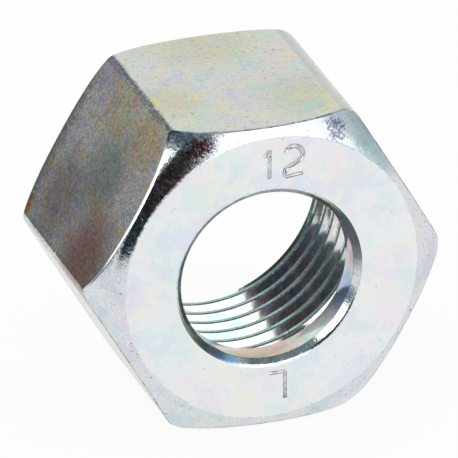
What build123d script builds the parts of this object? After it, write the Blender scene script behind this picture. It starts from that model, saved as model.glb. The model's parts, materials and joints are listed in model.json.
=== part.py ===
from build123d import *
import math
import os

# Union nut for a 12 mm tube on a 24 degree cone fitting, lying on one of its flats.
# The thread's axis runs along Y. The marked end, where the tube goes in, faces -Y, and the
# open end, which screws onto the fitting, faces +Y. The origin is on the axis, halfway along.
# The hole is bored to the thread's core: the helix itself and the punched figures are left out.

# Hexagon
across_flats = 22.0
nut_length = 15.5
long_edge_radius = 0.4        # the six long edges between the flats

# Marked end
marked_face_inset = 0.76      # from the middle of a flat in to the edge of the end face
marked_crown_drop = 1.88      # how far the crown falls back at a corner
marked_crown_radius = 4.66    # its convex curve
flat_end_radius = 0.3         # where a flat runs out into this crown

# Open end
open_face_inset = 0.05
open_crown_drop = 1.1
open_crown_radius = 4.0

# Hole for the tube
tube_diameter = 12.0
tube_clearance = 0.2          # on the diameter
entry_chamfer = 0.43          # on the radius, at the marked face
tube_hole_length = 2.05       # from the marked face to the seat

# Cone that presses on the cutting ring
seat_angle = 90.0             # between its two sides

# Thread, M18 x 1.5
thread_diameter = 18.0
thread_pitch = 1.5
relief_clearance = 0.3        # on the diameter, past the bottom of the thread
relief_floor = 0.5            # length of the groove's flat bottom
countersink_clearance = 0.5   # on the diameter, past the bottom of the thread
chamfer_angle = 90.0          # of the entry, the countersink and the groove's far side

# What follows from the sizes
flat_distance = across_flats / 2
corner_distance = flat_distance / math.cos(math.pi / 6)
marked_end = -nut_length / 2
open_end = nut_length / 2
tube_hole_r = (tube_diameter + tube_clearance) / 2
thread_triangle = thread_pitch * math.cos(math.pi / 6)    # height of the sharp 60 degree V
core_r = thread_diameter / 2 - thread_triangle * 5 / 8
relief_r = (thread_diameter + relief_clearance) / 2
countersink_r = (thread_diameter + countersink_clearance) / 2


def cone_length(small_r, large_r, angle):
    # Length along the axis of a cone between two radii
    return (large_r - small_r) / math.tan(math.radians(angle / 2))


def hexagon_bar():
    # Length of hexagon bar, with a flat at the top and one at the bottom
    with BuildPart() as bar:
        with BuildSketch(Plane.XZ):
            RegularPolygon(flat_distance, 6, major_radius=False)
            fillet(vertices(), long_edge_radius)
        extrude(amount=nut_length / 2, both=True)
    return bar.part


def crowned_blank():
    # Turned shape whose convex ends cut back the hexagon's corners
    marked_edge = (flat_distance - marked_face_inset, marked_end)
    marked_corner = (corner_distance, marked_end + marked_crown_drop)
    open_corner = (corner_distance, open_end - open_crown_drop)
    open_edge = (flat_distance - open_face_inset, open_end)
    with BuildPart() as blank:
        with BuildSketch(Plane.XY):
            with BuildLine():
                Polyline((0, open_end), (0, marked_end), marked_edge)
                RadiusArc(marked_edge, marked_corner, -marked_crown_radius)
                Line(marked_corner, open_corner)
                RadiusArc(open_corner, open_edge, -open_crown_radius)
                Line(open_edge, (0, open_end))
            make_face()
        revolve(axis=Axis.Y)
    return blank.part


def stepped_hole():
    # All that is bored out, as one turned shape: entry, tube hole, seat, relief groove,
    # thread core and countersink
    entry_r = tube_hole_r + entry_chamfer
    entry_end = marked_end + cone_length(tube_hole_r, entry_r, chamfer_angle)
    seat_start = marked_end + tube_hole_length
    seat_end = seat_start + cone_length(tube_hole_r, core_r, seat_angle)
    relief_end = seat_end + relief_floor
    thread_start = relief_end + cone_length(core_r, relief_r, chamfer_angle)
    thread_end = open_end - cone_length(core_r, countersink_r, chamfer_angle)
    with BuildPart() as hole:
        with BuildSketch(Plane.XY):
            with BuildLine():
                Polyline(
                    (0, marked_end),
                    (entry_r, marked_end),
                    (tube_hole_r, entry_end),
                    (tube_hole_r, seat_start),
                    (core_r, seat_end),
                    (relief_r, seat_end),
                    (relief_r, relief_end),
                    (core_r, thread_start),
                    (core_r, thread_end),
                    (countersink_r, open_end),
                    (0, open_end),
                    close=True,
                )
            make_face()
        revolve(axis=Axis.Y)
    return hole.part


def soften_flat_ends(body):
    # Round the curved edges where the flats run out into the marked end's crown, which is
    # much steeper than the other one
    curved_edges = [e for e in body.edges() if e.geom_type not in (GeomType.LINE, GeomType.CIRCLE)]
    return body.fillet(flat_end_radius, [e for e in curved_edges if e.center().Y < 0])


def nut():
    body = soften_flat_ends(hexagon_bar() & crowned_blank())
    return body - stepped_hole()


os.makedirs("parts", exist_ok=True)
export_step(nut(), "parts/nut.step")
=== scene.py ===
import bmesh
import bpy
import json
from math import asin, atan2, cos, degrees, hypot, pi, radians, sin, tan
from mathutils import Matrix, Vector

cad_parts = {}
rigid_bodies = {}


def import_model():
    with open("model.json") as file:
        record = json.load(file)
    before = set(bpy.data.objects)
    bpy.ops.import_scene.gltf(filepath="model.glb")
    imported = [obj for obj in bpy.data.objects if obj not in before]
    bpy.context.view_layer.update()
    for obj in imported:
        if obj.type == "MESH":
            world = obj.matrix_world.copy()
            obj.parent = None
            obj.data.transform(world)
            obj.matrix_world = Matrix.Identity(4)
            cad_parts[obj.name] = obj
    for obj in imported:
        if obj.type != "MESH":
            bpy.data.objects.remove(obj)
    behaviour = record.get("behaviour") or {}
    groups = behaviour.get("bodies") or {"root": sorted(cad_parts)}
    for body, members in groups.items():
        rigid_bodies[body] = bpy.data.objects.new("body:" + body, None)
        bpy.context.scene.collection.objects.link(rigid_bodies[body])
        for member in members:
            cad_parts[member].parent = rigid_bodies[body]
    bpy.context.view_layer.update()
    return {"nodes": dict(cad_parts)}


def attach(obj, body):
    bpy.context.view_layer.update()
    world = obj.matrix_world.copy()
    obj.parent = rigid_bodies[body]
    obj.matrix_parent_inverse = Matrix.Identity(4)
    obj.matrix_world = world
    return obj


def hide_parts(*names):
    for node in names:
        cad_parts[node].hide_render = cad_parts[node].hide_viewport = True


# Union nut for a 12 mm tube, zinc-plated steel, lying on one of its flats.
# The nut is modelled in millimetres and brought down to metres once its shape is done.
# The marked end looks along -Y, the open threaded end along +Y. Angles round the axis are
# measured from +X towards +Z, so the top flat is at 90.

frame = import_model()
print("frame loaded:", ", ".join(frame["nodes"]))


def nothingSelected():
    if bpy.context.object and bpy.context.object.mode != "OBJECT":
        bpy.ops.object.mode_set(mode="OBJECT")
    bpy.ops.object.select_all(action="DESELECT")


def makeActive(piece):
    nothingSelected()
    piece.select_set(True)
    bpy.context.view_layer.objects.active = piece


def editMode(piece, kind="EDGE"):
    makeActive(piece)
    bpy.ops.object.mode_set(mode="EDIT")
    bpy.ops.mesh.select_mode(type=kind)


def objectMode():
    bpy.ops.object.mode_set(mode="OBJECT")


def pickVerts(piece, test):
    bpy.ops.mesh.select_all(action="DESELECT")
    edit = bmesh.from_edit_mesh(piece.data)
    for vert in edit.verts:
        if test(vert.co):
            vert.select = True
    edit.select_flush_mode()
    bmesh.update_edit_mesh(piece.data)


def pickEdges(piece, test):
    # selects the edges whose two ends both pass the test
    bpy.ops.mesh.select_all(action="DESELECT")
    edit = bmesh.from_edit_mesh(piece.data)
    for edge in edit.edges:
        if test(edge.verts[0].co) and test(edge.verts[1].co):
            edge.select = True
    bmesh.update_edit_mesh(piece.data)


def applyAll(piece):
    makeActive(piece)
    for modifier in list(piece.modifiers):
        bpy.ops.object.modifier_apply(modifier=modifier.name)


def rename(piece, name):
    piece.name = name
    piece.data.name = name
    return piece


# lengths and radii in millimetres
nutSize = {
    "acrossFlats": 22.0,
    "length": 15.5,
    "longEdges": {0: 1.6, 60: 1.4, 120: 0.45, 180: 0.85, 240: 1.2, 300: 1.6},  # angle: radius
    "longEdgeSteps": 8,
    "flatSteps": 22,            # divisions across one flat
    "flatRows": 5,              # and along it
    # width of the rounding where each flat, named by its angle, runs out into the marked crown
    "markedFlatEnds": {30: 0.08, 90: 0.09, 150: 0.13, 210: 0.08, 270: 0.16, 330: 0.16},
    "flatEndChange": 12,        # degrees at a corner over which one width changes to the next
    "flatEndSteps": 5,
    "openFlatEnd": 0.05,
    "markedCrownStart": 10.30,  # where the crown would meet the marked face if it were sharp
    "markedCrownDrop": 1.88,
    "markedCrownRadius": 4.66,
    "markedBlend": 0.2,         # worn, rounded rim of the marked face
    "markedCrownShift": 0.14,   # the crown was turned this far off centre, towards +X
    "markedCrownRows": (0.32, 13),  # share of the way in that the first takes, and their number
    "openCrownStart": 10.95,
    "openCrownDrop": 1.1,
    "openCrownRadius": 4.0,
    "openBlend": 0.8,
    "openCrownRows": (0.33, 8),
    "crownSteps": 24,           # along a crown's arc
    "crownReach": 1.15,         # the arc goes on past the corner, so that it is under every row
    "blendSteps": 8,
    "formSides": 360,
    "formFace": 1.5,            # width of the flat face on a crown's form
    "openFaceRing": 10.0,
    "markedFaceRings": (7.0, 7.8, 9.0),
    "tubeHole": 6.1,
    "entryChamfer": 0.43,
    "entryRim": 0.45,           # radius of the worn rim between the chamfer and the face
    "entryRimSteps": 8,
    # small roundings of the tube hole's two ends: steps outwards and along
    "chamferRim": [(0.0, 0.04), (0.01, -0.01)],
    "seatRim": [(0.06, 0.06), (0.02, 0.01), (0.0, -0.05)],
    "tubeHoleLength": 2.05,
    "core": 8.188,              # of the thread, where its crests are a quarter of the pitch wide
    "relief": 9.15,
    "reliefFloor": 0.5,
    "countersink": 9.25,
}

slack = 0.01    # mm, within which two places count as the same
flatDistance = nutSize["acrossFlats"] / 2
cornerDistance = flatDistance / cos(pi / 6)
markedEnd = -nutSize["length"] / 2
openEnd = nutSize["length"] / 2


def crownProfile(start, drop, arcRadius, blend):
    # (radius, depth) points of a crown: flat face, rounded rim, convex arc to the corner
    dr, dd = cornerDistance - start, drop
    chord = hypot(dr, dd)
    half = asin(chord / 2 / arcRadius)
    firstSlope = atan2(dd, dr) - half
    midR = start - arcRadius * sin(firstSlope)      # middle of the arc's circle
    midD = arcRadius * cos(firstSlope)
    rimLength = blend * tan(firstSlope / 2)
    points = [(start - rimLength - nutSize["formFace"], 0.0), (start - rimLength, 0.0)]
    for i in range(1, nutSize["blendSteps"] + 1):
        a = firstSlope * i / nutSize["blendSteps"]
        points.append((start - rimLength + blend * sin(a), blend * (1 - cos(a))))
    rimEnd = points[-1][0]
    for i in range(1, nutSize["crownSteps"] + 1):
        a = firstSlope + (2 * half) * i / nutSize["crownSteps"] * nutSize["crownReach"]
        r = midR + arcRadius * sin(a)
        if r > rimEnd + 2 * slack:
            points.append((r, midD - arcRadius * cos(a)))
    return points


def crownForm(name, points, end, inward):
    # a thin turned sheet with the crown's profile, which the crown rows are laid on
    nothingSelected()
    bpy.ops.mesh.primitive_circle_add(
        vertices=nutSize["formSides"], radius=points[0][0], location=(0, end, 0),
        rotation=(radians(90), 0, 0))
    form = rename(bpy.context.object, name)
    bpy.ops.object.transform_apply(location=True, rotation=True, scale=True)
    editMode(form)
    bpy.ops.mesh.select_all(action="SELECT")
    for (r0, d0), (r1, d1) in zip(points, points[1:]):
        bpy.ops.mesh.extrude_region_move(
            TRANSFORM_OT_translate={"value": (0, inward * (d1 - d0), 0)})
        bpy.ops.transform.resize(value=(r1 / r0, 1, r1 / r0), center_override=(0, 0, 0))
    objectMode()
    return form


def pullRing(radius, y, nextRadius, nextY):
    # extrudes the selected round ring to the next radius and place along the axis
    bpy.ops.mesh.extrude_region_move(TRANSFORM_OT_translate={"value": (0, nextY - y, 0)})
    k = nextRadius / radius
    bpy.ops.transform.resize(value=(k, 1, k), center_override=(0, nextY, 0))


def crownRings(end, faceRadius, firstRow, rows):
    # from the selected hexagonal ring in to a round one, all in the plane of the end;
    # the first row is wide, to leave room for the rounding of the flat's end, and spread is how
    # much of the hexagon is left in the ring
    edit = bmesh.from_edit_mesh(bpy.context.edit_object.data)
    radii = [hypot(v.co.x, v.co.z) for v in edit.verts if v.select]
    average = sum(radii) / len(radii)
    level, spread = average, 1.0
    for i in range(rows):
        t = firstRow + (1 - firstRow) * i / (rows - 1)
        nextLevel = average * (1 - t) + faceRadius * t
        k = nextLevel / level
        bpy.ops.mesh.extrude_region_move(TRANSFORM_OT_translate={"value": (0, 0, 0)})
        bpy.ops.transform.tosphere(value=1 - (1 - t) / spread / k)
        bpy.ops.transform.resize(value=(k, 1, k), center_override=(0, end, 0))
        level, spread = nextLevel, 1 - t
    return level


def markedFlatEndAt(place):
    # width of the flat's rounding at this place, changing over a few degrees at each corner
    angle = degrees(atan2(place.z, place.x)) % 360
    corner = 60 * round(angle / 60)
    share = min(max((angle - corner) / nutSize["flatEndChange"] + 0.5, 0), 1)
    before, after = (nutSize["markedFlatEnds"][(corner + turn) % 360] for turn in (-30, 30))
    return before * (1 - share) + after * share


def hexagonRing():
    # round-cornered hexagon at the marked end, with points along each side
    nothingSelected()
    bpy.ops.mesh.primitive_circle_add(
        vertices=6, radius=cornerDistance, fill_type="NGON", location=(0, markedEnd, 0),
        rotation=(radians(90), radians(30), 0))
    nut = rename(bpy.context.object, "unionNut")
    bpy.ops.object.transform_apply(location=True, rotation=True, scale=True)
    editMode(nut, "VERT")
    for angle, edgeRadius in nutSize["longEdges"].items():
        pickVerts(nut, lambda co: co.x * cos(radians(angle)) + co.z * sin(radians(angle))
                  > cornerDistance - slack)
        bpy.ops.mesh.bevel(
            offset=edgeRadius * tan(pi / 6), segments=nutSize["longEdgeSteps"], affect="VERTICES")
    bpy.ops.mesh.select_mode(type="EDGE")
    bpy.ops.mesh.select_all(action="SELECT")
    bpy.ops.mesh.delete(type="ONLY_FACE")
    bpy.ops.mesh.select_all(action="DESELECT")
    edit = bmesh.from_edit_mesh(nut.data)
    for edge in edit.edges:
        edge.select = edge.calc_length() > 2    # the flats, not the steps of the corners
    bmesh.update_edit_mesh(nut.data)
    bpy.ops.mesh.subdivide(number_cuts=nutSize["flatSteps"] - 1)
    return nut


def insideRings(rimRadius):
    # (radius, y) of all that is turned inside, from the open face round to the marked one
    s = nutSize
    seatStart = markedEnd + s["tubeHoleLength"]
    seatEnd = seatStart + s["core"] - s["tubeHole"]
    reliefEnd = seatEnd + s["reliefFloor"]
    threadStart = reliefEnd + s["relief"] - s["core"]
    threadEnd = openEnd - (s["countersink"] - s["core"])
    chamferEnd = markedEnd + s["entryChamfer"]
    rings = [
        (s["openFaceRing"], openEnd),
        (s["countersink"], openEnd),
        (s["core"], threadEnd),
        (s["core"], threadStart),
        (s["relief"], reliefEnd),
        (s["relief"], seatEnd),
        (s["core"], seatEnd),
    ]
    rings += [(s["tubeHole"] + out, seatStart + along) for out, along in s["seatRim"]]
    rings += [(s["tubeHole"] + out, chamferEnd + along) for out, along in s["chamferRim"]]
    rimStart = s["tubeHole"] + s["entryChamfer"] + s["entryRim"] * tan(pi / 8)
    for i in range(s["entryRimSteps"] + 1):
        a = pi / 4 * (1 - i / s["entryRimSteps"])
        rings.append((rimStart - s["entryRim"] * sin(a), markedEnd + s["entryRim"] * (1 - cos(a))))
    faceRings = [*s["markedFaceRings"], rimRadius - s["markedCrownShift"], rimRadius]
    return rings + [(r, markedEnd) for r in faceRings]


def layOnForm(nut, form, end, rimRadius):
    # lays the rows of faces outside the end's rim on the crown's form
    rows = nut.vertex_groups.new(name=form.name)
    rows.add([v.index for v in nut.data.vertices if abs(v.co.y - end) < slack
              and hypot(v.co.x, v.co.z) > rimRadius - slack], 1, "REPLACE")
    lay = nut.modifiers.new(form.name, "SHRINKWRAP")
    lay.target = form
    lay.wrap_method = "PROJECT"
    lay.use_project_x = lay.use_project_z = False
    lay.use_project_y = True
    lay.use_negative_direction = lay.use_positive_direction = True
    lay.vertex_group = rows.name


def roundFlatEnds(nut):
    # finds the points where the flats' long edges end, and bevels what runs between them
    flatEnds = {}
    for edge in nut.data.edges:
        a, b = (nut.data.vertices[i] for i in edge.vertices)
        if hypot(a.co.x, a.co.z) > flatDistance - slack and abs(a.co.y - b.co.y) > 1:
            for v in (a, b):
                if abs(abs(v.co.y) - openEnd) < slack:
                    flatEnds[v.index] = v.co.copy()
    widest = max(nutSize["markedFlatEnds"].values())
    rounding = nut.data.attributes.new("bevel_weight_edge", "FLOAT", "EDGE")
    for edge in nut.data.edges:
        i, j = edge.vertices
        if i in flatEnds and j in flatEnds and abs(flatEnds[i].y - flatEnds[j].y) < slack:
            middle = (flatEnds[i] + flatEnds[j]) / 2
            width = markedFlatEndAt(middle) if middle.y < 0 else nutSize["openFlatEnd"]
            rounding.data[edge.index].value = width / widest
    ease = nut.modifiers.new("flatEnds", "BEVEL")
    ease.limit_method = "WEIGHT"
    ease.width = widest
    ease.segments = nutSize["flatEndSteps"]
    ease.use_clamp_overlap = False


def makeNut():
    s = nutSize
    markedPoints = crownProfile(
        s["markedCrownStart"], s["markedCrownDrop"], s["markedCrownRadius"], s["markedBlend"])
    openPoints = crownProfile(
        s["openCrownStart"], s["openCrownDrop"], s["openCrownRadius"], s["openBlend"])
    markedRim, openRim = markedPoints[1][0], openPoints[1][0]
    markedForm = crownForm("markedCrownForm", markedPoints, markedEnd, 1)
    openForm = crownForm("openCrownForm", openPoints, openEnd, -1)
    markedForm.location.x = s["markedCrownShift"]

    # the six flats, pulled out along the axis row by row
    nut = hexagonRing()
    bpy.ops.mesh.select_all(action="SELECT")
    for i in range(s["flatRows"]):
        bpy.ops.mesh.extrude_region_move(
            TRANSFORM_OT_translate={"value": (0, s["length"] / s["flatRows"], 0)})

    # open end: rows for its crown, then its face and everything that is turned inside
    radius, y = crownRings(openEnd, openRim, *s["openCrownRows"]), openEnd
    for nextRadius, nextY in insideRings(markedRim):
        pullRing(radius, y, nextRadius, nextY)
        radius, y = nextRadius, nextY

    # marked end: rows for its crown in from the other hexagonal ring, until the two meet
    pickEdges(nut, lambda co: abs(co.y - markedEnd) < slack and hypot(co.x, co.z) > flatDistance - slack)
    crownRings(markedEnd, markedRim, *s["markedCrownRows"])
    bpy.ops.mesh.select_all(action="SELECT")
    bpy.ops.mesh.remove_doubles(threshold=slack)
    bpy.ops.mesh.normals_make_consistent(inside=False)
    objectMode()

    layOnForm(nut, markedForm, markedEnd, markedRim)
    layOnForm(nut, openForm, openEnd, openRim)
    roundFlatEnds(nut)
    applyAll(nut)
    nut.data.attributes.remove(nut.data.attributes["bevel_weight_edge"])
    nut.vertex_groups.clear()
    bpy.data.objects.remove(markedForm)
    bpy.data.objects.remove(openForm)
    return nut


nut = makeNut()
print("nut body:", len(nut.data.polygons), "faces")


# the thread is a groove wound through the wall, so what is left between its turns are the crests
threadSize = {
    "pitch": 1.5,
    "inner": 7.9,         # the cutter's inside, in the air of the hole
    "crestBreak": 0.06,   # chamfer on the edges of the crests
    "flankEnd": 8.9,      # where the straight flanks go over into the rounded bottom
    "bottom": [(8.97, 0.09), (9.0, 0.03)],    # radius and half the width
    "start": 5.2,         # from the marked face, in the relief groove
    "turns": 8,
    "stepsPerTurn": 96,
}


def cutBy(piece, cutter):
    cut = piece.modifiers.new("cut", "BOOLEAN")
    cut.operation = "DIFFERENCE"
    cut.solver = "EXACT"
    cut.object = cutter
    applyAll(piece)
    bpy.data.objects.remove(cutter)


def threadCutter():
    t = threadSize
    broken, core = t["crestBreak"], nutSize["core"]
    half = t["pitch"] * 3 / 8     # of the groove's width at the core
    profile = [(t["inner"], half + broken), (core, half + broken)]
    for r in (core + broken, t["flankEnd"]):
        profile.append((r, half - (r - core) * tan(radians(30))))
    profile += t["bottom"]
    section = profile + [(r, -w) for r, w in reversed(profile)]
    nothingSelected()
    bpy.ops.mesh.primitive_circle_add(vertices=len(section), radius=1, fill_type="NOTHING")
    cutter = rename(bpy.context.object, "threadCutter")
    for v, (r, w) in zip(cutter.data.vertices, section):
        v.co = (r, markedEnd + t["start"] + w, 0)
    twist = cutter.modifiers.new("twist", "SCREW")
    twist.axis = "Y"
    twist.angle = 2 * pi
    twist.screw_offset = t["pitch"]
    twist.iterations = t["turns"]
    twist.steps = twist.render_steps = t["stepsPerTurn"]
    twist.use_merge_vertices = False
    applyAll(cutter)
    editMode(cutter)
    bpy.ops.mesh.select_all(action="DESELECT")
    bpy.ops.mesh.select_non_manifold()
    bpy.ops.mesh.edge_face_add()
    bpy.ops.mesh.select_all(action="SELECT")
    bpy.ops.mesh.normals_make_consistent(inside=False)
    objectMode()
    return cutter


cutBy(nut, threadCutter())
print("thread cut:", len(nut.data.polygons), "faces")


# Tube size and light series, as size marks on any such nut. The second mark stands on its head.
punchSize = {
    "radius": 0.18,      # of the round-bottomed groove
    "endRadius": 0.8,    # at a stroke's ends, against its middle
    "depth": 0.13,
    "grooveSteps": 6,    # of the groove's round bottom, for a quarter of a turn
    "strokeSteps": 5,    # between two points of a stroke
    "strokes": {
        "oneStem": [(0.0, 9.43), (-0.02, 7.31)],
        "oneFlag": [(-0.41, 8.92), (-0.17, 9.13), (0.0, 9.41)],
        "twoHook": [(1.07, 9.05), (1.29, 9.36), (1.66, 9.48), (2.08, 9.32), (2.32, 8.95),
                    (2.22, 8.53), (1.80, 8.21), (1.36, 8.02), (1.10, 7.77), (1.06, 7.30)],
        "twoBase": [(1.06, 7.28), (2.34, 7.42)],
        "ellStem": [(1.05, -7.10), (1.04, -9.1)],
        "ellFoot": [(-0.09, -7.12), (1.05, -7.12)],
    },
}


def punch(name):
    points = punchSize["strokes"][name]
    line = bpy.data.curves.new(name, "CURVE")
    line.dimensions = "3D"
    line.bevel_depth = punchSize["radius"]
    line.bevel_resolution = punchSize["grooveSteps"]
    line.resolution_u = punchSize["strokeSteps"]
    line.use_fill_caps = True
    spline = line.splines.new("BEZIER")
    spline.bezier_points.add(len(points) - 1)
    y = markedEnd - (punchSize["radius"] - punchSize["depth"])     # of the stroke's middle line
    for i, (x, z) in enumerate(points):
        point = spline.bezier_points[i]
        point.co = (x, y, z)
        point.handle_left_type = point.handle_right_type = "AUTO"
        point.radius = punchSize["endRadius"] if i in (0, len(points) - 1) else 1.0
    stroke = bpy.data.objects.new(name, line)
    bpy.context.scene.collection.objects.link(stroke)
    makeActive(stroke)
    bpy.ops.object.convert(target="MESH")
    editMode(stroke)
    bpy.ops.mesh.select_all(action="SELECT")
    bpy.ops.mesh.remove_doubles(threshold=0.001)
    bpy.ops.mesh.normals_make_consistent(inside=False)
    objectMode()
    return stroke


for name in punchSize["strokes"]:
    cutBy(nut, punch(name))
print("marks punched:", len(nut.data.polygons), "faces")

# down to metres, then smooth shading that keeps the big faces flat
makeActive(nut)
nut.scale = (0.001, 0.001, 0.001)
bpy.ops.object.transform_apply(scale=True)
bpy.ops.object.shade_smooth_by_angle(angle=radians(25))
weigh = nut.modifiers.new("weigh", "WEIGHTED_NORMAL")
weigh.keep_sharp = True
weigh.weight = 50
applyAll(nut)


def toLinear(code):
    # sRGB hex to the linear colour Blender works in
    parts = [int(code[i:i + 2], 16) / 255 for i in (0, 2, 4)]
    return [c / 12.92 if c <= 0.04045 else ((c + 0.055) / 1.055) ** 2.4 for c in parts] + [1.0]


def newMaterial(name):
    material = bpy.data.materials.new(name)
    material.use_nodes = True
    material.node_tree.nodes.clear()
    return material


def addNode(tree, kind, settings=None, inputs=None, stops=None, out=0):
    # a node with its settings, what each of its sockets is set to or plugged into, and a ramp's
    # colours; hands back one of its outputs, or the whole node where out is None
    node = tree.nodes.new("ShaderNode" + kind)
    for key, value in (settings or {}).items():
        setattr(node, key, value)
    for key, what in (inputs or {}).items():
        if isinstance(what, bpy.types.NodeSocket):
            tree.links.new(what, node.inputs[key])
        else:
            node.inputs[key].default_value = what
    if stops:
        ramp = node.color_ramp
        while len(ramp.elements) < len(stops):
            ramp.elements.new(0.5)
        for element, (place, colour) in zip(ramp.elements, stops):
            element.position = place
            element.color = toLinear(colour)
    return node if out is None else node.outputs[out]


# The upper left long edge is rubbed dull on both its sides: what the film's grain turns to there,
# how far from the corner that reaches and fades, how ragged it is, and the size of its bits.
rubbedEdge = {"film": [(0.36, "384A4E"), (0.5, "586664"), (0.64, "7E7686")],
              "reach": 0.11, "fade": 0.24, "ragged": 0.2, "bits": 0.3}

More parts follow.
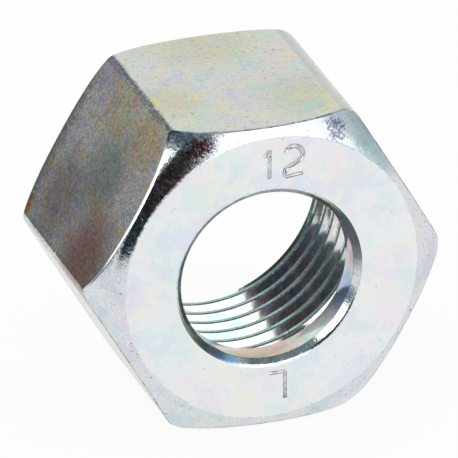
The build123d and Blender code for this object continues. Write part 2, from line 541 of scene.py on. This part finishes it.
# Zinc plating with a clear blue passivate: a thin film over bright metal, whose thickness gives
# pale rainbow tints. Each finish has a base colour and clouds of other tints, which mottles make
# ragged, then fine grain, dark dashes and a soft peel. Sizes are in millimetres, a stretch over 1
# draws a pattern out round the nut, and heights of the bumps are in micrometres. The real grain is
# too fine to show at this distance, so it is drawn as coarse as it needs to be to show.
# A tint has the most it covers, a drift or patch of speckles its place, radius and colour.
finishes = {
    # end faces: flat, satin, pearly
    "pearlyZincFace": {
        "base": "EEF2F4", "cloud": 2.2, "ragged": 0.3, "mottle": 0.5,
        "tints": [("F4E8F0", 0.6), ("DCF0F0", 0.7), ("F2F2E4", 0.5), ("E2E6F4", 0.6)],
        "grain": 0.12, "grainStretch": 1.0, "grainShade": 0.08, "grainHeight": 3.0,
        "dash": 0.4, "dashStretch": 1.0, "dashShade": 0.72, "dashHeight": 1.0, "dashes": 0.67,
        "roughness": (0.26, 0.38), "peel": 0.5, "peelHeight": 5.0,
    },
    # crowns: turned, bright, with a coarse skin and speckled patches at two corners
    "turnedZincCrown": {
        "base": "E2E8EC", "cloud": 2.6, "ragged": 0.3, "mottle": 0.35,
        "tints": [("CCE2E8", 0.8), ("ECE2EC", 0.6), ("EAEAE0", 0.5), ("CED4DE", 0.6)],
        "grain": 0.11, "grainStretch": 1.0, "grainShade": 0.20, "grainHeight": 8.0,
        "dash": 0.3, "dashStretch": 1.0, "dashShade": 0.4, "dashHeight": 14.0, "dashes": 0.67,
        "roughness": (0.04, 0.10), "peel": 0.3, "peelHeight": 7.0,
        "speckles": [((-5.5, -6.5, 10.8), 1.5, "A4B4BC"), ((-5.0, -7.3, 10.0), 1.3, "96706A"),
                     ((-6.2, -7.4, 9.2), 1.5, "C4B8AC"), ((-4.2, -7.3, 10.3), 1.0, "846E86"),
                     ((-7.2, -7.4, 8.0), 1.7, "B8A098"), ((-8.3, -7.4, 6.6), 1.5, "B4A098"),
                     ((-9.2, -7.4, 5.2), 1.4, "A0A8A8"), ((-9.9, -7.4, 3.8), 1.2, "8C9CA0"),
                     ((4.85, -7.3, 10.05), 1.25, "A29AB0")],
        "drifts": [((7.4, -7.2, 8.2), 3.0, "DCECEC")],
    },
    # flats in the light: cold drawn bar, film in clouds, short scratches round the nut; the lit copy of
    # the flats' finish
    "drawnZincFlat": {
        "base": "E2E4DC", "cloud": 1.7, "ragged": 0.5, "mottle": 0.4,
        "tints": [("F6EABC", 0.6), ("D2D8F0", 0.7), ("EFDCDE", 0.5), ("CFE6DC", 0.6)],
        "grain": 0.15, "grainStretch": 1.2, "grainShade": 0.22, "grainHeight": 7.0,
        "dash": 0.4, "dashStretch": 4.0, "dashShade": 0.35, "dashHeight": 8.0, "dashes": 0.62,
        "roughness": (0.12, 0.24), "peel": 0.4, "peelHeight": 6.0,
        "rubbed": rubbedEdge,
        "drifts": [((4.0, -3.4, 11.0), 4.4, "F2F6EA"), ((0.0, 6.0, 11.0), 5.0, "FAF6E4"),
                   ((-5.0, -1.5, 11.0), 3.4, "F8F4E0")],
    },
    # the other flats: the same bar, as a copy of the lit flats' finish with painted shade, darker, with
    # coarser dark grain and broad drifts
    "zincFlatPaintedShade": {
        "base": "F4F8F6", "cloud": 1.0, "ragged": 0.6, "mottle": 0.3,
        "tints": [("FAE4A0", 0.75), ("CCC0F8", 0.5), ("F2D2CC", 0.45), ("C8E8DC", 0.5)],
        "grain": 0.19, "grainStretch": 1.0, "grainShade": 0.62, "grainHeight": 12.0,
        "dash": 0.5, "dashStretch": 3.5, "dashShade": 0.5, "dashHeight": 12.0, "dashes": 0.64,
        "roughness": (0.12, 0.24), "peel": 0.4, "peelHeight": 10.0,
        "darkerEnd": {"film": "8C9892", "start": 6.3, "end": 7.5, "ragged": 3.0, "most": 0.8},
        "rubbed": rubbedEdge,
        # drifts: lilac and gold film on the upper part, orange film near the open end; the three darker
        # ones over the middle and lower part are painted shade, the lowest with a ruddy tint
        "drifts": [((-6.4, 5.4, 10.6), 3.0, "ECE8FC"), ((-7.2, 1.8, 9.5), 3.6, "FCF2D0"),
                   ((-7.2, -3.4, 9.5), 3.6, "FCECC4"), ((-9.2, -0.8, 5.9), 4.0, "C2CCC8"),
                   ((-10.9, 3.2, 3.0), 4.4, "D0C8C8"), ((-11.8, -3.8, 1.6), 5.0, "CCA69E"),
                   ((-12.2, 6.9, 0.9), 1.3, "E8B880")],
    },
    # long edges on the right: a darker, plain satin
    "satinZincEdge": {
        "base": "CCD2CA", "cloud": 1.2, "ragged": 0.4, "mottle": 0.3,
        "tints": [("DCD8D2", 0.6), ("BCC8C0", 0.6)],
        "grain": 0.12, "grainStretch": 1.0, "grainShade": 0.15, "grainHeight": 4.0,
        "dash": 0.3, "dashStretch": 1.0, "dashShade": 0.5, "dashHeight": 4.0, "dashes": 0.66,
        "roughness": (0.18, 0.30), "peel": 0.3, "peelHeight": 5.0,
    },
    # left flat's end, rubbed bright where it runs out into the crown
    "rubbedZincRim": {
        "base": "E6E8E8", "cloud": 1.0, "ragged": 0.3, "mottle": 0.3,
        "tints": [("DCE0E4", 0.5)],
        "grain": 0.12, "grainStretch": 1.0, "grainShade": 0.10, "grainHeight": 6.0,
        "dash": 0.4, "dashStretch": 1.0, "dashShade": 0.5, "dashHeight": 5.0, "dashes": 0.66,
        "roughness": (0.08, 0.16), "peel": 0.3, "peelHeight": 8.0,
        # drifts: darker at the upper left corner, and painted shade that dims the rim's bright band
        # towards its lower end
        "drifts": [((-6.4, -6.0, 10.8), 1.5, "444C52"), ((-11.6, -6.6, 1.6), 1.8, "909498")],
    },
    # the other flats' ends: dull, with dark nicks
    "nickedZincRim": {
        "base": "C4C8C6", "cloud": 0.8, "ragged": 0.5, "mottle": 0.3,
        "tints": [("84908E", 0.8), ("DCDADA", 0.8)],
        "grain": 0.12, "grainStretch": 1.0, "grainShade": 0.3, "grainHeight": 10.0,
        "dash": 0.3, "dashStretch": 1.0, "dashShade": 0.3, "dashHeight": 8.0, "dashes": 0.60,
        "roughness": (0.26, 0.40), "peel": 0.2, "peelHeight": 20.0,
        "drifts": [((-6.3, -6.0, 10.9), 1.3, "50585C")],
    },
    # hole for the tube, seat and thread flanks: cut smooth, lines round the axis
    "cutZincBore": {
        "base": "E8E8EC", "cloud": 2.0, "ragged": 0.2, "mottle": 0.5,
        "tints": [("F4E2C4", 0.6), ("C8D6F2", 0.8), ("F2D6E0", 0.8), ("BCE4D6", 0.8)],
        "grain": 0.7, "grainStretch": 9.0, "grainShade": 0.12, "grainHeight": 1.5,
        "dash": 1.2, "dashStretch": 8.0, "dashShade": 0.5, "dashHeight": 1.0, "dashes": 0.68,
        "roughness": (0.07, 0.14), "peel": 0.8, "peelHeight": 3.0,
        "drifts": [((-0.5, -6.4, -6.1), 4.6, "F6D6BE"), ((5.7, -6.4, -2.2), 2.6, "BCCCE4"),
                   ((6.1, -6.4, 0.6), 2.2, "E0B4C6")],
    },
    # chamfer where the tube goes in: bright, with stains of blue and green, small nicks, and painted shade
    # on its right and lower left
    "zincChamferStainsAndPaintedShade": {
        "base": "F0F2F2", "cloud": 1.3, "ragged": 0.5, "mottle": 0.3,
        "tints": [("9CCCE0", 0.5), ("BCD8D0", 0.5), ("A8B2B8", 0.4)],
        "grain": 0.12, "grainStretch": 1.0, "grainShade": 0.25, "grainHeight": 6.0,
        "dash": 0.25, "dashStretch": 1.0, "dashShade": 0.35, "dashHeight": 8.0, "dashes": 0.64,
        "roughness": (0.06, 0.14), "peel": 0.25, "peelHeight": 10.0,
        # drifts: the three grey ones are painted shade on the right and lower left, the last a blue stain
        "drifts": [((5.75, -7.55, 2.56), 4.6, "606C72"), ((-5.56, -7.55, -2.96), 3.0, "909690"),
                   ((-4.2, -7.55, -4.7), 2.0, "808890"), ((-3.0, -7.55, -5.5), 1.6, "A8D0F4")],
    },
    # crests of the thread: film thick enough to look greenish, steel blue in places
    "greenZincCrest": {
        "base": "B0CEC2", "cloud": 1.4, "ragged": 0.4, "mottle": 0.3,
        "tints": [("90C8AE", 0.7), ("A0BCD0", 0.6), ("CCCCD8", 0.5)],
        "grain": 0.25, "grainStretch": 0.4, "grainShade": 0.35, "grainHeight": 3.0,
        "dash": 0.3, "dashStretch": 0.5, "dashShade": 0.4, "dashHeight": 3.0, "dashes": 0.62,
        "roughness": (0.06, 0.14), "peel": 0.3, "peelHeight": 4.0,
    },
    # edges of the crests: pale, with clouds of darker green and blue, and nicks
    "greenBlueZincEdge": {
        "base": "D4E2DC", "cloud": 1.0, "ragged": 0.4, "mottle": 0.3,
        "tints": [("5CA084", 0.7), ("6C98B0", 0.6), ("B4BCBA", 0.7)],
        "grain": 0.15, "grainStretch": 0.6, "grainShade": 0.5, "grainHeight": 4.0,
        "dash": 0.3, "dashStretch": 0.5, "dashShade": 0.4, "dashHeight": 3.0, "dashes": 0.60,
        "roughness": (0.10, 0.20), "peel": 0.3, "peelHeight": 4.0,
    },
    # countersink at the open end: aqua green
    "aquaZincCountersink": {
        "base": "BED8CE", "cloud": 1.2, "ragged": 0.4, "mottle": 0.3,
        "tints": [("D4E8E0", 0.7), ("98BCAE", 0.6)],
        "grain": 0.2, "grainStretch": 1.0, "grainShade": 0.3, "grainHeight": 4.0,
        "dash": 0.3, "dashStretch": 0.5, "dashShade": 0.5, "dashHeight": 3.0, "dashes": 0.62,
        "roughness": (0.08, 0.16), "peel": 0.3, "peelHeight": 4.0,
    },
    # bottoms of the punched marks: duller
    "punchedZincMark": {
        "base": "DEE0E0", "cloud": 0.6, "ragged": 0.4, "mottle": 0.25,
        "tints": [("B4B6B4", 0.8), ("F8F8F8", 0.8), ("A8A8A4", 0.4)],
        "grain": 0.10, "grainStretch": 1.0, "grainShade": 0.3, "grainHeight": 6.0,
        "dash": 0.25, "dashStretch": 1.0, "dashShade": 0.3, "dashHeight": 5.0, "dashes": 0.60,
        "roughness": (0.22, 0.34), "peel": 0.2, "peelHeight": 8.0,
    },
}


seeded = {"noise_dimensions": "4D"}    # the fourth coordinate, W, tells two like noises apart
smooth = {"interpolation_type": "SMOOTHSTEP"}
mixed = {"data_type": "RGBA"}
multiplied = {"data_type": "RGBA", "blend_type": "MULTIPLY"}


def makeFinish(name, f):
    material = newMaterial(name)
    tree = material.node_tree
    place = addNode(tree, "TexCoord", out="Object")

    # the finish's mottles, grain, dashes and peel, as noises drawn out round the nut
    noises = {}
    for what, detail, rough in (("mottle", 4.0, 0.65), ("grain", 3.0, 0.6), ("dash", 4.0, 0.6),
                                ("peel", 3.0, 0.5)):
        drawnOut = addNode(tree, "Mapping", inputs={
            "Vector": place, "Scale": (1, f.get(what + "Stretch", 1), 1)})
        noises[what] = addNode(tree, "TexNoise", seeded, {
            "Vector": drawnOut, "Scale": 1000 / f[what], "Detail": detail, "Roughness": rough})
    mottles, grain = noises["mottle"], noises["grain"]

    # clouds of the film's tints, with soft borders
    softness = 0.14
    colour = toLinear(f["base"])
    for i, (tint, most) in enumerate(f["tints"]):
        cloud = addNode(tree, "TexNoise", seeded, {
            "Vector": place, "Scale": 1000 / f["cloud"], "W": 3.7 * i + 1})
        ragged = addNode(tree, "Math", {"operation": "MULTIPLY_ADD"},
                         {0: mottles, 1: f["ragged"], 2: cloud})
        middle = 0.5 + 0.5 * f["ragged"]
        share = addNode(tree, "MapRange", smooth,
                        {0: ragged, 1: middle, 2: middle + softness, 3: 0.0, 4: most})
        colour = addNode(tree, "Mix", mixed, {0: share, 6: colour, 7: toLinear(tint)}, out=2)

    # drifts fade out from a fifth of their radius to all of it
    for centre, radius, tint in f.get("drifts", []):
        away = addNode(tree, "VectorMath", {"operation": "DISTANCE"},
                       {0: place, 1: [c / 1000 for c in centre]}, out="Value")
        share = addNode(tree, "MapRange", smooth,
                        {0: away, 1: radius / 5000, 2: radius / 1000, 3: 1.0, 4: 0.0})
        colour = addNode(tree, "Mix", multiplied, {0: share, 6: colour, 7: toLinear(tint)}, out=2)

    # speckles: the film broken up into dark specks, fewer towards the patch's border
    for centre, radius, tint in f.get("speckles", []):
        away = addNode(tree, "VectorMath", {"operation": "DISTANCE"},
                       {0: place, 1: [c / 1000 for c in centre]}, out="Value")
        near = addNode(tree, "MapRange",
                       inputs={0: away, 1: radius / 2500, 2: radius / 1000, 3: 0.07, 4: -0.14})
        specks = addNode(tree, "TexNoise", seeded, {
            "Vector": place, "Scale": 1000 / (radius / 6), "Detail": 4.0, "Roughness": 0.7, "W": radius})
        specks = addNode(tree, "Math", {"operation": "ADD"}, {0: near, 1: specks})
        share = addNode(tree, "MapRange", inputs={0: specks, 1: 0.5, 2: 0.56})
        colour = addNode(tree, "Mix", multiplied, {0: share, 6: colour, 7: toLinear(tint)}, out=2)

    # grain of the plating, and short dark dashes where it is scratched or pitted
    dashes = addNode(tree, "MapRange", inputs={0: noises["dash"], 1: f["dashes"], 2: f["dashes"] + 0.04})
    for source, start, end, low, high in ((grain, 0.3, 0.7, 1 - f["grainShade"], 1.0),
                                          (dashes, 0.0, 1.0, 1.0, f["dashShade"])):
        shade = addNode(tree, "MapRange", inputs={0: source, 1: start, 2: end, 3: low, 4: high})
        colour = addNode(tree, "Mix", multiplied, {0: 1.0, 6: colour, 7: shade}, out=2)

    if "rubbed" in f:
        # the upper left long edge is rubbed dull, with a ragged border
        r = f["rubbed"]
        fromEdge = addNode(tree, "Attribute", {"attribute_name": "fromEdge"}, out="Fac")
        bits = addNode(tree, "TexNoise", seeded, {
            "Vector": place, "Scale": 1000 / r["bits"], "Detail": 5.0, "Roughness": 0.75})
        bits = addNode(tree, "MapRange", inputs={0: bits, 1: 0.3, 2: 0.7, 3: -r["ragged"], 4: r["ragged"]})
        border = addNode(tree, "Math", {"operation": "ADD"}, {0: fromEdge, 1: bits})
        share = addNode(tree, "MapRange",
                        inputs={0: border, 1: r["reach"], 2: r["reach"] + r["fade"], 3: 1.0, 4: 0.0})
        dull = addNode(tree, "ValToRGB", inputs={"Fac": grain}, stops=r["film"])
        colour = addNode(tree, "Mix", mixed, {0: share, 6: colour, 7: dull}, out=2)

    if "darkerEnd" in f:
        # darker from start to end along the axis, towards the open end, again with a ragged border
        d = f["darkerEnd"]
        along = addNode(tree, "SeparateXYZ", inputs={0: place}, out="Y")
        border = addNode(tree, "Math", {"operation": "MULTIPLY_ADD"},
                         {0: mottles, 1: d["ragged"] / 1000, 2: along})
        start, end = (d[key] / 1000 + d["ragged"] / 2000 for key in ("start", "end"))
        share = addNode(tree, "MapRange", inputs={0: border, 1: start, 2: end, 3: 0.0, 4: d["most"]})
        colour = addNode(tree, "Mix", multiplied, {0: share, 6: colour, 7: toLinear(d["film"])}, out=2)

    smoothest, roughest = f["roughness"]
    roughness = addNode(tree, "MapRange", inputs={0: mottles, 1: 0.35, 2: 0.65, 3: smoothest, 4: roughest})
    bumps = {}
    for source, height in ((noises["peel"], f["peelHeight"]), (grain, f["grainHeight"]),
                           (dashes, f["dashHeight"])):
        bumps["Normal"] = addNode(tree, "Bump", inputs={
            "Height": source, "Strength": 1.0, "Distance": height * 1e-6, **bumps})
    metal = addNode(tree, "BsdfPrincipled", inputs={
        "Base Color": colour, "Metallic": 1.0, "Roughness": roughness, **bumps})
    addNode(tree, "OutputMaterial", inputs={"Surface": metal}, out=None)
    return material


nut.data.materials.clear()
for name, finish in finishes.items():
    nut.data.materials.append(makeFinish(name, finish))
slotOf = {name: i for i, name in enumerate(finishes)}


# where one finish gives way to the next: radii, distances and the way a face looks
finishBorders = {
    "outside": 9.95,         # radius past which are the flats, their ends, the crowns and rims
    "endFace": 0.98,         # an end face looks at least this much along the axis,
    "flat": 0.02,            # and a flat or a long edge at most this much
    "litFlat": (-0.2, 0.1),  # a flat in the light looks further to the right and further up
    "satinEdges": 4.0,        # how far to the right they start
    "edgeTurn": 3,           # degrees off a flat's direction that make a face part of a long edge
    "flatEnd": 0.14,         # width of a flat's rounded end, seen along the axis
    "rubbedEnd": (122, 179), # angles of the left flat's end
    "marksInside": 6.85,     # radius past which what is sunk into the marked face is a mark
    "marksDepth": 0.2,       # and how deep it may be
    "markRim": 0.005,        # depths at which a mark and the chamfer start
    "chamferRim": 0.02,
    "countersinkDepth": 0.9, # the countersink is within this of the open end,
    "countersinkLook": 0.6,  # and looks at least this much along the axis
}


def finishAt(centre, normal):
    # which finish a face of the nut has, by its place (mm) and the way it looks
    b = finishBorders
    radius, depth = hypot(centre.x, centre.z), centre.y
    if radius > b["outside"]:
        if abs(normal.y) > b["endFace"]:
            return "pearlyZincFace"
        if abs(normal.y) < b["flat"]:
            facing = degrees(atan2(normal.z, normal.x)) % 60    # 30 on every flat
            if centre.x > b["satinEdges"] and abs(facing - 30) > b["edgeTurn"]:
                return "satinZincEdge"
            lit = normal.x > b["litFlat"][0] and normal.z > b["litFlat"][1]
            # a flat in the light gets the lit copy of the flats' finish, the others the copy with painted
            # shade
            return "drawnZincFlat" if lit else "zincFlatPaintedShade"
        across = max(centre.x * cos(radians(a)) + centre.z * sin(radians(a)) for a in range(30, 390, 60))
        if across > flatDistance - b["flatEnd"] and depth < 0:
            angle = degrees(atan2(centre.z, centre.x)) % 360
            return "rubbedZincRim" if b["rubbedEnd"][0] < angle < b["rubbedEnd"][1] else "nickedZincRim"
        return "turnedZincCrown"
    if depth > openEnd - slack:
        return "pearlyZincFace"
    if depth < markedEnd + b["marksDepth"] and radius > b["marksInside"]:
        return "punchedZincMark" if depth > markedEnd + b["markRim"] else "pearlyZincFace"
    if depth < markedEnd + nutSize["entryChamfer"]:
        return "zincChamferStainsAndPaintedShade" if depth > markedEnd + b["chamferRim"] else "pearlyZincFace"
    if depth > openEnd - b["countersinkDepth"] and normal.y > b["countersinkLook"]:
        return "aquaZincCountersink"
    if depth > markedEnd + threadSize["start"] and radius < nutSize["core"] + threadSize["crestBreak"]:
        return "greenZincCrest" if radius < nutSize["core"] + slack else "greenBlueZincEdge"
    return "cutZincBore"


for face in nut.data.polygons:
    face.material_index = slotOf[finishAt(face.center * 1000, face.normal)]

# each point's distance in mm from the hexagon's upper left corner, for the rubbed edge there
fromEdge = nut.data.attributes.new("fromEdge", "FLOAT", "POINT")
for v in nut.data.vertices:
    fromEdge.data[v.index].value = hypot(v.co.x * 1000 - cornerDistance * cos(radians(120)),
                                         v.co.z * 1000 - cornerDistance * sin(radians(120)))
print("finishes:", ", ".join(finishes))

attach(nut, "root")
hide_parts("nut")


# degrees and metres
studio = {
    "cameraDistance": 1.0,
    "cameraAzimuth": -18.89,     # from looking along +Y, towards the nut's left
    "cameraElevation": 25.67,
    "cameraRoll": -0.20,
    "lens": 1168.7,              # in mm, like the sensor
    "sensorWidth": 36,
    "shift": (-0.0072, 0.0029),
    "clip": (0.05, 20),
    "floorSize": 6,
    "floorLevel": -0.01102,      # just under the nut
    "floorColour": "F8F8F8",
    "floorGlow": (0.9, 0.85),    # how white it is to the camera and in reflections
    "skyColour": "FAFAFA",
}


def fromAngles(azimuth, elevation):
    # unit vector from the nut towards a place in the studio, azimuth 0 being in front (-Y)
    a, e = radians(azimuth), radians(elevation)
    return Vector((sin(a) * cos(e), -cos(a) * cos(e), sin(e)))


def addCamera():
    back = fromAngles(studio["cameraAzimuth"], studio["cameraElevation"])
    data = bpy.data.cameras.new("photoCamera")
    data.sensor_width = studio["sensorWidth"]
    data.lens = studio["lens"]
    data.shift_x, data.shift_y = studio["shift"]
    data.clip_start, data.clip_end = studio["clip"]
    camera = bpy.data.objects.new("photoCamera", data)
    camera.location = back * studio["cameraDistance"]
    camera.rotation_euler = (-back).to_track_quat("-Z", "Y").to_euler()
    camera.rotation_euler.rotate_axis("Z", radians(studio["cameraRoll"]))
    bpy.context.scene.collection.objects.link(camera)
    bpy.context.scene.camera = camera


def addFloor():
    # pale and matt, with the nut's shadow, and near white where the camera or the metal sees it
    nothingSelected()
    bpy.ops.mesh.primitive_plane_add(size=studio["floorSize"], location=(0, 0, studio["floorLevel"]))
    floor = rename(bpy.context.object, "studioFloor")
    paint = newMaterial("paleFloor")
    tree = paint.node_tree
    toCamera, inMirrors = studio["floorGlow"]
    ray = addNode(tree, "LightPath", out=None).outputs
    mirrored = addNode(tree, "Math", {"operation": "ADD", "use_clamp": True},
                       {0: ray["Is Glossy Ray"], 1: ray["Is Transmission Ray"]})
    mirrored = addNode(tree, "Math", {"operation": "MULTIPLY"}, {0: mirrored, 1: inMirrors})
    share = addNode(tree, "Math", {"operation": "MULTIPLY_ADD"},
                    {0: ray["Is Camera Ray"], 1: toCamera, 2: mirrored})
    matt = addNode(tree, "BsdfDiffuse", inputs={"Color": toLinear(studio["floorColour"])})
    glow = addNode(tree, "Emission", inputs={"Color": toLinear("FFFFFF"), "Strength": 1.0})
    both = addNode(tree, "MixShader", inputs={0: share, 1: matt, 2: glow})
    addNode(tree, "OutputMaterial", inputs={"Surface": both}, out=None)
    floor.data.materials.append(paint)


def addSky():
    # even light from all round, and plain white where the camera or the metal sees it
    world = bpy.data.worlds.new("softStudio")
    bpy.context.scene.world = world
    world.use_nodes = True
    tree = world.node_tree
    tree.nodes.clear()
    ray = addNode(tree, "LightPath", out=None).outputs
    seen = ray["Is Camera Ray"]
    for kind in ("Is Glossy Ray", "Is Transmission Ray"):
        seen = addNode(tree, "Math", {"operation": "ADD", "use_clamp": True}, {0: seen, 1: ray[kind]})
    sky = addNode(tree, "Background", inputs={"Color": toLinear(studio["skyColour"]), "Strength": 1.0})
    white = addNode(tree, "Background", inputs={"Color": toLinear("FFFFFF"), "Strength": 1.0})
    both = addNode(tree, "MixShader", inputs={0: seen, 1: sky, 2: white})
    addNode(tree, "OutputWorld", inputs={"Surface": both}, out=None)


# Cards round the nut, which only its polished metal sees: place and size in degrees as the nut
# sees them, distance in metres, colours at the bottom and the top, strength, how much fades out at
# the rim, and the colour of mottles. Where the camera stands is a dim room, browner in places.
cards = {
    "dimRoom": {"azimuth": -28, "elevation": 16, "width": 32, "height": 50, "distance": 0.5,
                "colours": ("20282C", "2E383E"), "strength": 1.0, "soft": 0.06, "mottles": "5C5658"},
    "lowDimRoom": {"azimuth": -27, "elevation": -6, "width": 32, "height": 24, "distance": 0.07,
                   "colours": ("4A5A60", "3A4448"), "strength": 1.0, "soft": 0.12},
    "brownCurtain": {"azimuth": -8, "elevation": 18, "width": 12, "height": 50, "distance": 0.49,
                     "colours": ("1C1A1C", "342C30"), "strength": 1.0, "soft": 0.06, "mottles": "8A8490"},
    "leftSoftbox": {"azimuth": -57, "elevation": 28.5, "width": 28, "height": 33, "distance": 0.45,
                    "colours": ("FFFFFF", "FFFFFF"), "strength": 4.0, "soft": 0.04},
    "leftLowCard": {"azimuth": -62, "elevation": 1, "width": 26, "height": 17, "distance": 0.08,
                    "colours": ("8CA4B4", "56707E"), "strength": 1.0, "soft": 0.15},
    "sideSoftbox": {"azimuth": -96, "elevation": 16, "width": 52, "height": 50, "distance": 0.5,
                    "colours": ("FFFFFF", "FFFFFF"), "strength": 1.6, "soft": 0.2},
    "frontRightSoftbox": {"azimuth": 21, "elevation": 24, "width": 48, "height": 46, "distance": 0.45,
                          "colours": ("FFFFFF", "FFFFFF"), "strength": 1.6, "soft": 0.04},
    "rightGreyCard": {"azimuth": 57, "elevation": 14, "width": 24, "height": 54, "distance": 0.48,
                      "colours": ("F0F2F4", "DCE4E8"), "strength": 1.0, "soft": 0.06, "mottles": "D0DCE0"},
    "rightTealCard": {"azimuth": 90, "elevation": 17, "width": 48, "height": 72, "distance": 0.5,
                      "colours": ("C0C0BA", "C8D8DA"), "strength": 1.0, "soft": 0.12},
    "ceiling": {"azimuth": 0, "elevation": 64, "width": 100, "height": 50, "distance": 0.6,
                "colours": ("8898A0", "8494A0"), "strength": 1.0, "soft": 0.08, "mottles": "5E686E"},
    "backLeftCard": {"azimuth": -149, "elevation": 4, "width": 64, "height": 44, "distance": 0.05,
                     "colours": ("3A3A3E", "CACACC"), "strength": 1.0, "soft": 0.25},
    "backGreyCard": {"azimuth": 161, "elevation": 24, "width": 50, "height": 52, "distance": 0.5,
                     "colours": ("E8EAEA", "E8EAEA"), "strength": 1.1, "soft": 0.2},
}


def addCard(name, azimuth, elevation, width, height, distance, colours, strength, soft,
            mottles=None):
    towards = fromAngles(azimuth, elevation)
    nothingSelected()
    bpy.ops.mesh.primitive_plane_add(size=2)
    card = rename(bpy.context.object, name)
    card.scale = (distance * tan(radians(width / 2)), distance * tan(radians(height / 2)), 1)
    card.rotation_euler = towards.to_track_quat("Z", "Y").to_euler()
    card.location = towards * distance

    # glows from the bottom's colour to the top's, in mottles of a third one, and fades at the rim
    face = newMaterial(name)
    tree = face.node_tree
    place = addNode(tree, "TexCoord", out="Object")
    along = addNode(tree, "SeparateXYZ", inputs={0: place}, out=None).outputs
    upward = addNode(tree, "MapRange", inputs={0: along["Y"], 1: -1.0, 2: 1.0})
    shade = addNode(tree, "Mix", mixed,
                    {0: upward, 6: toLinear(colours[0]), 7: toLinear(colours[1])}, out=2)
    if mottles:
        cloud = addNode(tree, "TexNoise", inputs={
            "Vector": place, "Scale": 6.0, "Detail": 5.0, "Roughness": 0.65})
        share = addNode(tree, "MapRange", inputs={0: cloud, 1: 0.48, 2: 0.58})
        shade = addNode(tree, "Mix", mixed, {0: share, 6: shade, 7: toLinear(mottles)}, out=2)
    sides = [addNode(tree, "Math", {"operation": "ABSOLUTE"}, {0: along[axis]}) for axis in "XY"]
    rim = addNode(tree, "Math", {"operation": "MAXIMUM"}, dict(enumerate(sides)))
    fade = addNode(tree, "MapRange", smooth, {0: rim, 1: 1 - soft, 2: 1.0, 3: 0.0, 4: 1.0})
    glow = addNode(tree, "Emission", inputs={"Color": shade, "Strength": strength})
    clear = addNode(tree, "BsdfTransparent")
    both = addNode(tree, "MixShader", inputs={0: fade, 1: glow, 2: clear})
    addNode(tree, "OutputMaterial", inputs={"Surface": both}, out=None)
    card.data.materials.append(face)
    card.visible_camera = card.visible_diffuse = card.visible_shadow = False


addCamera()
addFloor()
for name, values in cards.items():
    addCard(name, **values)
addSky()
print("studio set:", len(cards), "cards")

bpy.context.scene.view_settings.view_transform = "Standard"

bpy.context.view_layer.update()
